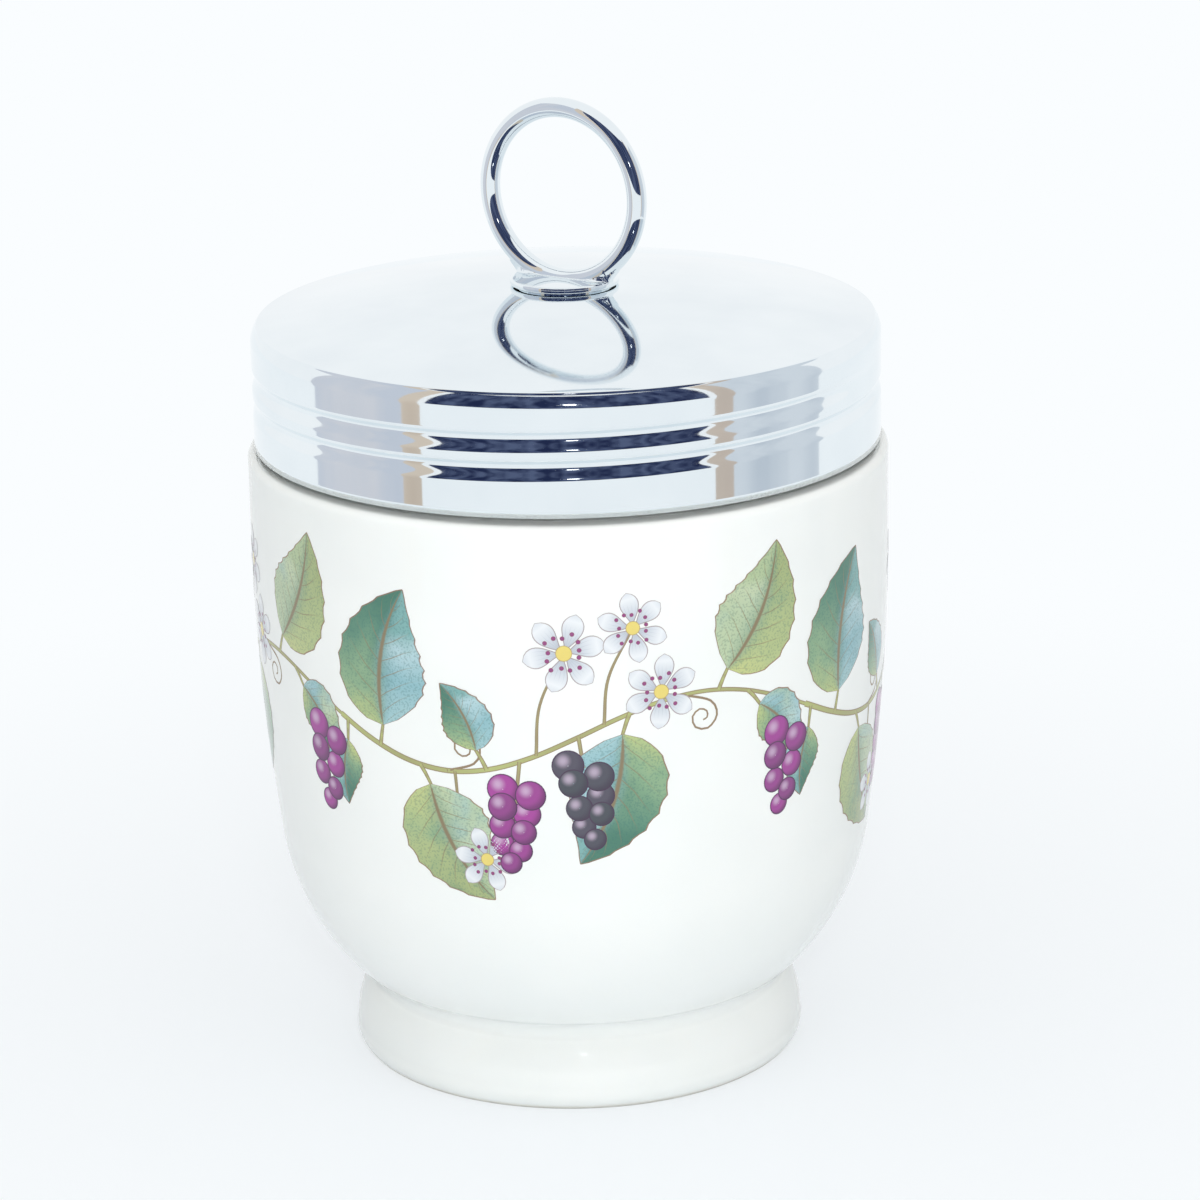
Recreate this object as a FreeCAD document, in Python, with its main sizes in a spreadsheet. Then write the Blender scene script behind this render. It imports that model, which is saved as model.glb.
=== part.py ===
"""Egg coddler: a glazed porcelain cup with a moulded thread, and a chromed lid that screws on.

Millimetres. +Z is up. The origin is on the cup's axis, in the plane that the foot ring stands on.
Azimuths are counter-clockwise from +X seen from above, so 270 degrees is the front of the cup.
"""

import FreeCAD, Part
import math
import os

import Sketcher

V = FreeCAD.Vector
doc = FreeCAD.newDocument("egg_coddler")

# Driving dimensions. Each cell holds one plain number, and its alias is the name used below.
DIMENSIONS = {
    # cup, outside
    "belly_radius": 38.9,
    "shoulder_height": 76.4,
    "belly_straight": 10.4,
    "side_arc_radius": 290.0,
    "side_arc_low": 30.0,
    "bowl_arc_radius": 30.0,
    "bowl_edge_radius": 28.1,
    "foot_waist_radius": 25.9,
    "foot_waist_height": 8.7,
    "foot_height": 11.3,
    "foot_bulge_radius": 27.9,
    "foot_bulge_height": 2.4,
    "foot_bulge_arc": 2.6,
    "foot_side_arc": 11.0,
    "foot_waist_arc": 3.0,
    "foot_ring_width": 3.4,
    "foot_edge": 0.7,
    "recess_depth": 7.2,
    "recess_corner": 2.0,
    "shoulder_edge": 0.9,
    # cup, neck and inside
    "neck_radius": 35.6,
    "neck_wall": 2.8,
    "cavity_wall": 3.7,
    "bore_above_shoulder": 1.0,
    "cavity_widest_high": 3.0,
    "cavity_widest_low": 6.0,
    "cavity_arc_low": 2.0,
    "floor_thickness": 6.3,
    "floor_radius": 14.0,
    # lid
    "lid_radius": 38.0,
    "lid_wall_height": 14.95,
    "dome_rise": 3.8,
    "disc_seat_radius": 6.9,
    "lid_gauge": 0.6,
    "lid_shoulder_drop": 1.75,
    "lid_shoulder_inset": 0.65,
    "lid_shoulder_arc": 3.6,
    "lid_top_edge": 0.25,
    "hem_gap": 0.6,
    "rim_gap": 0.1,
    # thread
    "thread_pitch": 3.4,
    "groove_depth": 0.48,
    "groove_lower_flank": 1.5,
    "groove_upper_flank": 0.9,
    "groove_floor_width": 0.4,
    "groove_overcut": 0.3,
    "bead_depth": 0.6,
    "bead_lower_flank": 1.4,
    "bead_upper_flank": 0.8,
    "bead_crest_width": 0.5,
    "groove_above_hem": 6.3,
    "thread_gap": 0.35,
    "ridge_base_width": 1.5,
    "ridge_crest_width": 0.6,
    "ridge_root": 0.3,
    # handle
    "foot_disc_radius": 6.6,
    "foot_disc_height": 0.8,
    "solder_radius": 5.9,
    "solder_height": 0.15,
    "ring_outer_radius": 11.6,
    "wire_radius": 1.2,
    "ring_turn": -33.0,
    "ring_flat_depth": 1.5,
    "braze_length": 10.4,
    "braze_width": 5.0,
    "braze_top_length": 6.0,
    "braze_top_width": 2.0,
    "braze_height": 1.3,
}
# Sizes that follow from the driving ones, as the sheet works them out.
DERIVED = {
    "belly_straight_low": "=shoulder_height - belly_straight",
    "side_low_rise": "=belly_straight_low - side_arc_low",
    "side_low_radius": "=belly_radius - side_arc_radius + sqrt(side_arc_radius ^ 2 - side_low_rise ^ 2)",
    "hem_height": "=shoulder_height + hem_gap",
    "dome_edge_height": "=hem_height + lid_wall_height",
    "dome_edge_radius": "=lid_radius - lid_shoulder_inset - lid_top_edge",
    "lid_top": "=dome_edge_height + dome_rise",
    "dome_depth": "=(dome_edge_radius ^ 2 - disc_seat_radius ^ 2 - dome_rise ^ 2) / (2 * dome_rise)",
    "dome_centre": "=dome_edge_height - dome_depth",
    "dome_radius": "=sqrt(dome_edge_radius ^ 2 + dome_depth ^ 2)",
    "dome_inner_radius": "=dome_radius - lid_gauge",
    "lid_bore": "=lid_radius - lid_gauge",
    "underside_edge_radius": "=lid_bore - lid_shoulder_inset",
    "underside_edge_height": "=dome_centre + sqrt(dome_inner_radius ^ 2 - underside_edge_radius ^ 2)",
    "lid_underside": "=dome_centre + sqrt(dome_inner_radius ^ 2 - disc_seat_radius ^ 2)",
    "rim_round": "=neck_wall / 2",
    "rim_middle_radius": "=neck_radius - rim_round",
    "rim_reach": "=dome_inner_radius - rim_gap - rim_round",
    "neck_top": "=dome_centre + sqrt(rim_reach ^ 2 - rim_middle_radius ^ 2)",
    "neck_bore": "=neck_radius - neck_wall",
    "cavity_radius": "=belly_radius - cavity_wall",
    "floor_height": "=recess_depth + floor_thickness",
    "foot_inner_radius": "=foot_bulge_radius - foot_ring_width",
    "disc_base": "=lid_top + solder_height",
    "disc_top": "=disc_base + foot_disc_height",
    "ring_centre_radius": "=ring_outer_radius - wire_radius",
    "ring_centre": "=disc_top - ring_flat_depth + ring_outer_radius",
}

sheet = doc.addObject("Spreadsheet::Sheet", "dimensions")
for row, (alias, value) in enumerate(list(DIMENSIONS.items()) + list(DERIVED.items()), start=1):
    cell = f"B{row}"
    sheet.set(f"A{row}", alias)
    sheet.setAlias(cell, alias)
    sheet.set(cell, str(value))
doc.recompute()


def size(alias):
    """The value of one named cell."""
    return float(sheet.get(alias))


def bind(thing, prop, expression):
    """Ties a property to an expression in the sheet's names, written with @ before each name."""
    thing.setExpression(prop, expression.replace("@", "dimensions."))


def origin_plane(body, role):
    """One of the body's own origin planes."""
    return next(f for f in body.Origin.OriginFeatures if f.Role == role)


def value_of(expression):
    """The number that an expression in the sheet's names stands for now."""
    return float(sheet.evalExpression(expression.replace("@", "")))


def turned_body(label, corners, arcs):
    """A body of revolution about Z.

    corners are (radius, height) expressions round a closed outline, and arcs gives the radius and the
    bulge side (+1 or -1) of each edge that isn't straight, by the number of the corner it leaves.
    A corner whose radius is "0" stays on the axis.
    """
    body = doc.addObject("PartDesign::Body", label)
    body.Label = label
    sketch = body.newObject("Sketcher::SketchObject", label + "_outline")
    sketch.AttachmentSupport = (origin_plane(body, "XZ_Plane"), [""])
    sketch.MapMode = "FlatFace"
    places = [V(value_of(r), value_of(z), 0) for r, z in corners]
    for number, start in enumerate(places):
        end = places[(number + 1) % len(places)]
        if number in arcs:
            radius, side = value_of(arcs[number][0]), arcs[number][1]
            chord = end - start
            rise = math.sqrt(max(radius**2 - (chord.Length / 2) ** 2, 0.0))
            across = V(-chord.y, chord.x, 0).normalize() * side
            centre = (start + end) * 0.5 - across * rise
            middle = centre + across * radius
            first, last = (end, start) if side > 0 else (start, end)
            sketch.addGeometry(Part.Arc(first, middle, last), False)
        else:
            sketch.addGeometry(Part.LineSegment(start, end), False)
    tie_outline(sketch, corners, arcs)
    turn = body.newObject("PartDesign::Revolution", label + "_turn")
    turn.Profile = sketch
    turn.ReferenceAxis = (sketch, ["V_Axis"])
    turn.Angle = 360.0
    body.Tip = turn
    doc.recompute()
    return body


def tie_outline(sketch, corners, arcs):
    """Closes the outline and ties its corners and arc radii to the sheet."""
    count = len(corners)
    first_end = [point_numbers(sketch, number, corners)[0] for number in range(count)]
    last_end = [point_numbers(sketch, number, corners)[1] for number in range(count)]
    for number in range(count):
        following = (number + 1) % count
        sketch.addConstraint(
            Sketcher.Constraint("Coincident", number, last_end[number], following, first_end[following])
        )
    for number, (radius, height) in enumerate(corners):
        start = first_end[number]
        if radius == "0":
            sketch.addConstraint(Sketcher.Constraint("PointOnObject", number, start, -2))
        else:
            along = sketch.addConstraint(
                Sketcher.Constraint("DistanceX", -1, 1, number, start, value_of(radius))
            )
            bind(sketch, f"Constraints[{along}]", radius)
        if height == "0":
            sketch.addConstraint(Sketcher.Constraint("PointOnObject", number, start, -1))
        else:
            up = sketch.addConstraint(
                Sketcher.Constraint("DistanceY", -1, 1, number, start, value_of(height))
            )
            bind(sketch, f"Constraints[{up}]", height)
    for number, (radius, _) in arcs.items():
        chord = sketch.Geometry[number].StartPoint - sketch.Geometry[number].EndPoint
        if chord.Length > 1.999 * value_of(radius):
            height = corners[number][1]
            level = sketch.addConstraint(Sketcher.Constraint("DistanceY", -1, 1, number, 3, value_of(height)))
            bind(sketch, f"Constraints[{level}]", height)
        else:
            round_size = sketch.addConstraint(Sketcher.Constraint("Radius", number, value_of(radius)))
            bind(sketch, f"Constraints[{round_size}]", radius)


def point_numbers(sketch, number, corners):
    """Which end of an edge is its first corner: a line keeps its order, an arc may be turned round."""
    edge = sketch.Geometry[number]
    start = V(value_of(corners[number][0]), value_of(corners[number][1]), 0)
    return (1, 2) if (edge.StartPoint - start).Length < 1e-6 else (2, 1)


def cup_body():
    """The porcelain cup before its thread: foot ring, bowl, shoulder, neck, rim and cavity."""
    corners = [
        ("0", "@recess_depth"),
        ("@foot_inner_radius - @recess_corner", "@recess_depth"),
        ("@foot_inner_radius", "@recess_depth - @recess_corner"),
        ("@foot_inner_radius", "@foot_edge"),
        ("@foot_inner_radius + @foot_edge", "0"),
        ("@foot_bulge_radius - @foot_edge", "0"),
        ("@foot_bulge_radius", "@foot_bulge_height"),
        ("@foot_waist_radius", "@foot_waist_height"),
        ("@bowl_edge_radius", "@foot_height"),
        ("@side_low_radius", "@side_arc_low"),
        ("@belly_radius", "@belly_straight_low"),
        ("@belly_radius", "@shoulder_height - @shoulder_edge"),
        ("@belly_radius - @shoulder_edge", "@shoulder_height"),
        ("@neck_radius", "@shoulder_height"),
        ("@neck_radius", "@neck_top"),
        ("@neck_bore", "@neck_top"),
        ("@neck_bore", "@shoulder_height + @bore_above_shoulder"),
        ("@cavity_radius", "@belly_straight_low + @cavity_widest_high"),
        ("@cavity_radius", "@belly_straight_low - @cavity_widest_low"),
        ("@side_low_radius - @cavity_wall", "@side_arc_low + @cavity_arc_low"),
        ("@floor_radius", "@floor_height"),
        ("0", "@floor_height"),
    ]
    arcs = {
        1: ("@recess_corner", 1),
        3: ("@foot_edge", -1),
        5: ("@foot_bulge_arc", -1),
        6: ("@foot_side_arc", -1),
        7: ("@foot_waist_arc", 1),
        8: ("@bowl_arc_radius", -1),
        9: ("@side_arc_radius", -1),
        11: ("@shoulder_edge", -1),
        14: ("@rim_round", -1),
        18: ("@side_arc_radius", 1),
        19: ("@bowl_arc_radius - @cavity_wall", 1),
    }
    return turned_body("cup_blank", corners, arcs)


def lid_body():
    """The pressed lid before its thread is rolled in: dome with a flat seat for the handle's disc,
    shoulder, wall and hem. Its outside and inside are one gauge apart."""
    corners = [
        ("0", "@lid_underside"),
        ("@disc_seat_radius", "@lid_underside"),
        ("@underside_edge_radius", "@underside_edge_height"),
        ("@lid_bore", "@underside_edge_height - @lid_shoulder_drop"),
        ("@lid_bore", "@hem_height + @lid_gauge / 2"),
        ("@lid_radius", "@hem_height + @lid_gauge / 2"),
        ("@lid_radius", "@dome_edge_height - @lid_shoulder_drop"),
        ("@lid_radius - @lid_shoulder_inset", "@dome_edge_height - @lid_top_edge"),
        ("@dome_edge_radius", "@dome_edge_height"),
        ("@disc_seat_radius", "@lid_top"),
        ("0", "@lid_top"),
    ]
    arcs = {
        1: ("@dome_inner_radius", 1),
        4: ("@lid_gauge / 2", -1),
        6: ("@lid_shoulder_arc", -1),
        7: ("@lid_top_edge", -1),
        8: ("@dome_radius", -1),
    }
    return turned_body("lid_blank", corners, arcs)


THREAD_STEP = 7.5
RUN_OUT = 45.0
LID_THREAD = (165.0, 712.5)
CUP_THREAD = (150.0, 660.0)


def thread_height(azimuth):
    """Height of the middle of the lid's thread at an azimuth in degrees. It is right-handed."""
    return size("hem_height") + size("groove_above_hem") + size("thread_pitch") * (azimuth - 270.0) / 360.0


def helical_bar(label, span, section):
    """A bar that follows the thread. section(share) gives its (radius, height) corners in the radial
    plane, about the thread's middle, and share runs up from 0 to 1 over the run-out at each end."""
    count = round((span[1] - span[0]) / THREAD_STEP)
    wires = []
    for number in range(count + 1):
        azimuth = span[0] + number * THREAD_STEP
        to_end = min(azimuth - span[0], span[1] - azimuth)
        share = min(1.0, to_end / RUN_OUT)
        share = share * share * (3 - 2 * share)
        turn = math.radians(azimuth)
        corners = [
            V(r * math.cos(turn), r * math.sin(turn), thread_height(azimuth) + z)
            for r, z in section(max(share, 0.04))
        ]
        wires.append(Part.makePolygon(corners + corners[:1]))
    bar = doc.addObject("Part::Feature", label)
    bar.Shape = Part.makeLoft(wires, True, True)
    return bar


def lid_groove(share):
    """The channel that the thread makes in the lid's outside. Its lower flank is the gentler one."""
    outside = size("lid_radius")
    floor_half = size("groove_floor_width") / 2 * share
    deep = size("groove_depth") * share
    past = 1 + size("groove_overcut") / size("groove_depth")
    return [
        (outside - deep, -floor_half),
        (outside - deep, floor_half),
        (outside - deep + deep * past, floor_half + size("groove_upper_flank") * share * past),
        (outside - deep + deep * past, -floor_half - size("groove_lower_flank") * share * past),
    ]


def lid_bead(share):
    """The bead that the same rolling raises on the lid's inside, one gauge behind the channel."""
    bore = size("lid_bore")
    crest_half = size("bead_crest_width") / 2 * share
    deep = size("bead_depth") * share
    sunk = size("lid_gauge") / 2
    past = 1 + sunk / size("bead_depth")
    return [
        (bore - deep, -crest_half),
        (bore - deep + deep * past, -crest_half - size("bead_lower_flank") * share * past),
        (bore - deep + deep * past, crest_half + size("bead_upper_flank") * share * past),
        (bore - deep, crest_half),
    ]


def cup_ridge(share):
    """The porcelain thread: it stands half a pitch above the lid's bead, which hooks under it."""
    crest = size("lid_bore") - size("thread_gap")
    sunk = size("ridge_root")
    root = size("neck_radius")
    tall = (crest - root) * share
    base_half, crest_half = size("ridge_base_width") / 2, size("ridge_crest_width") / 2
    middle = size("thread_pitch") / 2
    return [
        (root + tall, middle - crest_half),
        (root + tall, middle + crest_half),
        (root - sunk, middle + base_half),
        (root - sunk, middle - base_half),
    ]


def joined(kind, label, base, tool):
    """A Part::Fuse or Part::Cut of two objects."""
    both = doc.addObject(kind, label)
    both.Base = base
    both.Tool = tool
    return both


def porcelain_cup():
    """Cup and thread, one piece of porcelain."""
    return joined("Part::Fuse", "porcelain_cup", cup_body(), helical_bar("cup_ridge", CUP_THREAD, cup_ridge))


def lid_shell():
    """The pressed sheet-metal lid with its rolled thread."""
    beaded = joined("Part::Fuse", "lid_beaded", lid_body(), helical_bar("lid_bead", LID_THREAD, lid_bead))
    return joined("Part::Cut", "lid_shell", beaded, helical_bar("lid_groove", LID_THREAD, lid_groove))


def flat_disc(label, radius, height, base):
    """A round disc on the lid's axis."""
    disc = doc.addObject("Part::Cylinder", label)
    bind(disc, "Radius", radius)
    bind(disc, "Height", height)
    bind(disc, "Placement.Base.z", base)
    return disc


def handle_ring():
    """The upright wire ring, closed and turned about the lid's axis, filed flat where it meets the disc."""
    hoop = doc.addObject("Part::Torus", "ring_hoop")
    bind(hoop, "Radius1", "@ring_centre_radius")
    bind(hoop, "Radius2", "@wire_radius")
    turned = "rotation(vector(0; 0; 1); @ring_turn) * rotation(vector(1; 0; 0); 90)"
    bind(hoop, "Placement", f"placement(vector(0; 0; @ring_centre); {turned})")
    filed = flat_disc("ring_filing", "@ring_outer_radius", "@ring_flat_depth", "@disc_top - @ring_flat_depth")
    return joined("Part::Cut", "handle_ring", hoop, filed)


def ring_braze(ring):
    """The braze that fills the corner between the ring and its foot disc, on both sides of the wire."""
    bar = doc.addObject("Part::Wedge", "braze_bar")
    for prop, expression in (
        ("Xmin", "-@braze_length / 2"),
        ("Xmax", "@braze_length / 2"),
        ("Ymin", "0"),
        ("Ymax", "@braze_height"),
        ("Zmin", "-@braze_width / 2"),
        ("Zmax", "@braze_width / 2"),
        ("X2min", "-@braze_top_length / 2"),
        ("X2max", "@braze_top_length / 2"),
        ("Z2min", "-@braze_top_width / 2"),
        ("Z2max", "@braze_top_width / 2"),
    ):
        bind(bar, prop, expression)
    turned = "rotation(vector(0; 0; 1); @ring_turn) * rotation(vector(1; 0; 0); 90)"
    bind(bar, "Placement", f"placement(vector(0; 0; @disc_top); {turned})")
    return joined("Part::Cut", "ring_braze", bar, ring)


ring = handle_ring()
SUBPARTS = [
    porcelain_cup(),
    lid_shell(),
    flat_disc("foot_solder", "@solder_radius", "@solder_height", "@lid_top"),
    flat_disc("handle_foot", "@foot_disc_radius", "@foot_disc_height", "@disc_base"),
    ring,
    ring_braze(ring),
]
doc.recompute()

failed = [thing.Name for thing in doc.Objects if set(thing.State) & {"Invalid", "Error"}]
if failed:
    raise RuntimeError(f"these objects failed to compute: {failed}")
for subpart in SUBPARTS:
    if subpart.Shape.isNull() or not subpart.Shape.isValid():
        raise RuntimeError(f"{subpart.Label} has no valid shape")

os.makedirs("parts", exist_ok=True)
for subpart in SUBPARTS:
    box = subpart.Shape.BoundBox
    print(f"{subpart.Label}: {len(subpart.Shape.Solids)} solid(s), {subpart.Shape.Volume:.1f} mm3,"
          f" z {box.ZMin:.2f} to {box.ZMax:.2f}, x {box.XMin:.2f} to {box.XMax:.2f}")
    subpart.Shape.exportStep(f"parts/{subpart.Label}.step")
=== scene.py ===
"""Looks of the porcelain egg coddler: glazed cup with a printed garland, chromed screw lid and ring.

Lengths are written in millimetres and turned to metres where a mesh is made. Azimuths are in degrees,
counter-clockwise from +X seen from above, so 270 is the front of the cup.
"""

import math

import bmesh
import bpy
from mathutils import Matrix, Vector


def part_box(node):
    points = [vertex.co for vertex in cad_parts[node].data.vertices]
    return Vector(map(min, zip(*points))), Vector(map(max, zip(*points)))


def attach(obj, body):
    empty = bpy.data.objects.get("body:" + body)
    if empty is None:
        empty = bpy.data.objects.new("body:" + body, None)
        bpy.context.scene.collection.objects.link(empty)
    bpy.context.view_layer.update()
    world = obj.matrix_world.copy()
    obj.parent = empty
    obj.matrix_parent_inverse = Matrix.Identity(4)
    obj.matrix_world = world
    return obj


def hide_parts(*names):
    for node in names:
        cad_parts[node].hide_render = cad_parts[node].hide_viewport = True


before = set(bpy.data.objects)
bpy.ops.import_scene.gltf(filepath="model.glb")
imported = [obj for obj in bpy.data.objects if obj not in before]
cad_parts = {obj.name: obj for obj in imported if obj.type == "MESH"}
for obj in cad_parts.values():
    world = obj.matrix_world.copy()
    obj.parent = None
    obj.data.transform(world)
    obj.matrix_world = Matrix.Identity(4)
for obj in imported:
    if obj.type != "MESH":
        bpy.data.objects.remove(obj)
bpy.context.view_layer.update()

MM = 0.001

# Cup. The printed garland stands proud of the glaze, and its face is at the cup's full radius.
PRINT = 0.03
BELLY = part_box("porcelain_cup")[1].x / MM
STRAIGHT_LOW = 66.0
SIDE_ARC = 290.0
SIDE_ARC_LOW = 30.0
BOWL_ARC = 30.0
BOWL_EDGE = 28.1
FOOT_WAIST, FOOT_WAIST_Z = 25.9, 8.7
FOOT_BULGE, FOOT_BULGE_Z = 27.9, 2.4
FOOT_TOP = 11.3
FOOT_INNER = FOOT_BULGE - 3.4
FOOT_EDGE = 0.7
RECESS = 7.2
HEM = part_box("lid_shell")[0].z / MM
SHOULDER = HEM - 0.6
NECK, NECK_WALL = 35.6, 2.8
CAVITY_WALL = 3.7
FLOOR_RADIUS, FLOOR_Z = 14.0, 13.5

# Lid: a spherical dome with a flat seat for the handle's disc.
LID_RADIUS = 38.0
GAUGE = 0.6
SHOULDER_DROP, SHOULDER_INSET, TOP_EDGE = 1.75, 0.65, 0.25
DOME_EDGE_Z, DOME_RISE, SEAT = HEM + 14.95, 3.8, 6.9
DOME_EDGE = LID_RADIUS - SHOULDER_INSET - TOP_EDGE
DOME_DEPTH = (DOME_EDGE**2 - SEAT**2 - DOME_RISE**2) / (2 * DOME_RISE)
DOME_RADIUS = math.hypot(DOME_EDGE, DOME_DEPTH)
DOME_CENTRE = DOME_EDGE_Z - DOME_DEPTH
CROWN = DOME_EDGE_Z + DOME_RISE

# Handle.
DISC_RADIUS, DISC_BASE = 6.6, CROWN + 0.15
DISC_TOP = DISC_BASE + 0.8
RING_OUTER, WIRE = 11.6, 1.2
RING_MIDDLE = RING_OUTER - WIRE
RING_CENTRE = DISC_TOP - 1.5 + RING_OUTER
RING_TURN = math.radians(-33)

PITCH = 3.4
GROOVE_DEPTH, GROOVE_LOWER, GROOVE_UPPER = 0.55, 1.7, 1.1
GROOVE_Z = HEM + 6.3
LID_THREAD = (165.0 / 360, 712.5 / 360)
CUP_THREAD = (150.0 / 360, 660.0 / 360)
RUN_OUT = 45.0 / 360
RIDGE_TALL, RIDGE_HALF = 1.45, 0.9
RIM_GAP = 0.1
RIM_MIDDLE = NECK - NECK_WALL / 2
NECK_TOP = DOME_CENTRE + math.sqrt((DOME_RADIUS - GAUGE - RIM_GAP - NECK_WALL / 2) ** 2 - RIM_MIDDLE**2)

# Flowers of the garland.
PETALS, STAMENS = 6, 13


def colour(code):
    """An sRGB hex colour as linear RGBA."""
    parts = [int(code[i : i + 2], 16) / 255 for i in (1, 3, 5)]
    return [p / 12.92 if p <= 0.04045 else ((p + 0.055) / 1.055) ** 2.4 for p in parts] + [1.0]


def add(tree, kind, inputs=None, **settings):
    """Adds a node with its settings. Its inputs are values, sockets, or nodes whose first output is meant."""
    made = tree.nodes.new(kind)
    for name, value in settings.items():
        setattr(made, name, value)
    for key, value in (inputs or {}).items():
        if isinstance(value, bpy.types.Node):
            value = value.outputs[0]
        if isinstance(value, bpy.types.NodeSocket):
            tree.links.new(value, made.inputs[key])
        else:
            made.inputs[key].default_value = value
    return made


def new_material(name, **shader):
    """A material with a Principled shader, its sockets set by name. Returns material, tree and shader."""
    material = bpy.data.materials.new(name)
    material.use_nodes = True
    tree = material.node_tree
    bsdf = tree.nodes["Principled BSDF"]
    for socket, value in shader.items():
        bsdf.inputs[socket.replace("_", " ")].default_value = value
    return material, tree, bsdf


def ramp(tree, factor, stops):
    """A colour ramp through (place, hex) stops."""
    made = add(tree, "ShaderNodeValToRGB", {0: factor})
    elements = made.color_ramp.elements
    while len(elements) < len(stops):
        elements.new(0.5)
    for element, (place, code) in zip(elements, stops):
        element.position = place
        element.color = colour(code)
    return made


# Outlines of the turned pieces.


def arc(start, end, radius, side, step):
    """Points of an arc after start and up to end. It bulges to the left of the way there if side is 1."""
    a, b = Vector(start), Vector(end)
    chord = b - a
    across = Vector((-chord.y, chord.x)).normalized() * side
    centre = (a + b) / 2 - across * math.sqrt(max(radius**2 - chord.length_squared / 4, 0))
    first = math.atan2(a.y - centre.y, a.x - centre.x)
    sweep = 2 * math.asin(min(chord.length / 2 / radius, 1)) * -side
    count = max(2, math.ceil(abs(sweep) * radius / step))
    return [
        (
            centre.x + radius * math.cos(first + sweep * k / count),
            centre.y + radius * math.sin(first + sweep * k / count),
        )
        for k in range(1, count + 1)
    ]


def line(start, end, step):
    """Points of a straight run after start and up to end."""
    length = math.dist(start, end)
    count = max(1, math.ceil(length / step))
    return [
        (start[0] + (end[0] - start[0]) * k / count, start[1] + (end[1] - start[1]) * k / count)
        for k in range(1, count + 1)
    ]


def outline(start, *runs):
    """A whole outline: each run is (end, step) for a line or (end, step, radius, side) for an arc."""
    points = [start]
    for end, step, *bend in runs:
        points += arc(points[-1], end, *bend, step) if bend else line(points[-1], end, step)
    return points


def side_radius(z):
    """The cup's outer radius at a height between the foot and the shoulder."""
    if z >= STRAIGHT_LOW:
        return BELLY
    if z >= SIDE_ARC_LOW:
        return BELLY - SIDE_ARC + math.sqrt(SIDE_ARC**2 - (STRAIGHT_LOW - z) ** 2)
    low, high = Vector((BOWL_EDGE, FOOT_TOP)), Vector((side_radius(SIDE_ARC_LOW), SIDE_ARC_LOW))
    chord = high - low
    back = Vector((-chord.y, chord.x)).normalized()
    centre = (low + high) / 2 + back * math.sqrt(BOWL_ARC**2 - chord.length_squared / 4)
    return centre.x + math.sqrt(max(BOWL_ARC**2 - (z - centre.y) ** 2, 0))


def turned(name, points, columns):
    """A body of revolution about Z through (radius, height) points. Its UV runs round and along."""
    verts, faces, uvs, rows = [], [], [], []
    for radius, z in points:
        if radius < 1e-6:
            rows.append([len(verts)] * (columns + 1))
            verts.append((0, 0, z * MM))
            continue
        first = len(verts)
        for k in range(columns):
            turn = 2 * math.pi * k / columns
            verts.append((radius * MM * math.cos(turn), radius * MM * math.sin(turn), z * MM))
        rows.append(list(range(first, first + columns)) + [first])
    along = [0.0]
    for a, b in zip(points, points[1:]):
        along.append(along[-1] + math.dist(a, b))
    for j in range(len(points) - 1):
        for k in range(columns):
            corners = [(j, k), (j, k + 1), (j + 1, k + 1), (j + 1, k)]
            ids, kept = [], []
            for row, column in corners:
                vert = rows[row][column]
                if vert not in ids:
                    ids.append(vert)
                    kept.append((column / columns, along[row] / along[-1]))
            if len(ids) > 2:
                faces.append(ids)
                uvs += kept
    return mesh_object(name, verts, faces, uvs)


def mesh_object(name, verts, faces, uvs=None):
    """A smooth-shaded mesh object at the origin."""
    mesh = bpy.data.meshes.new(name)
    mesh.from_pydata(verts, [], faces)
    if uvs:
        layer = mesh.uv_layers.new(name="UVMap")
        layer.data.foreach_set("uv", [v for uv in uvs for v in uv])
    mesh.polygons.foreach_set("use_smooth", [True] * len(mesh.polygons))
    mesh.update()
    made = bpy.data.objects.new(name, mesh)
    bpy.context.scene.collection.objects.link(made)
    return made


def face_outwards(piece):
    """Recalculates a closed mesh's normals."""
    work = bmesh.new()
    work.from_mesh(piece.data)
    bmesh.ops.recalc_face_normals(work, faces=work.faces)
    work.to_mesh(piece.data)
    work.free()
    return piece


# Geometry Nodes.


def node_group(name, sizes):
    """A geometry tree with a named input for each size. Returns the tree and its input node."""
    tree = bpy.data.node_groups.new(name, "GeometryNodeTree")
    tree.interface.new_socket("Geometry", in_out="INPUT", socket_type="NodeSocketGeometry")
    for size in sizes:
        tree.interface.new_socket(size, in_out="INPUT", socket_type="NodeSocketFloat")
    tree.interface.new_socket("Material", in_out="INPUT", socket_type="NodeSocketMaterial")
    tree.interface.new_socket("Geometry", in_out="OUTPUT", socket_type="NodeSocketGeometry")
    return tree, tree.nodes.new("NodeGroupInput")


def close_group(tree, given, geometry):
    """Ends a tree in Realize Instances and Set Material."""
    real = add(tree, "GeometryNodeRealizeInstances", {0: geometry})
    painted = add(tree, "GeometryNodeSetMaterial", {"Geometry": real, "Material": given.outputs["Material"]})
    add(tree, "NodeGroupOutput", {0: painted})
    return tree


def run_group(piece, tree, values, material):
    """Runs a tree on a piece and keeps the result as its plain mesh."""
    modifier = piece.modifiers.new(tree.name, "NODES")
    modifier.node_group = tree
    for item in tree.interface.items_tree:
        if item.in_out == "INPUT" and item.name in values:
            modifier[item.identifier] = values[item.name]
        elif item.in_out == "INPUT" and item.name == "Material":
            modifier[item.identifier] = material
    bpy.context.view_layer.update()
    evaluated = piece.evaluated_get(bpy.context.evaluated_depsgraph_get())
    mesh = bpy.data.meshes.new_from_object(evaluated)
    piece.modifiers.remove(modifier)
    piece.data = mesh
    return piece


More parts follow.
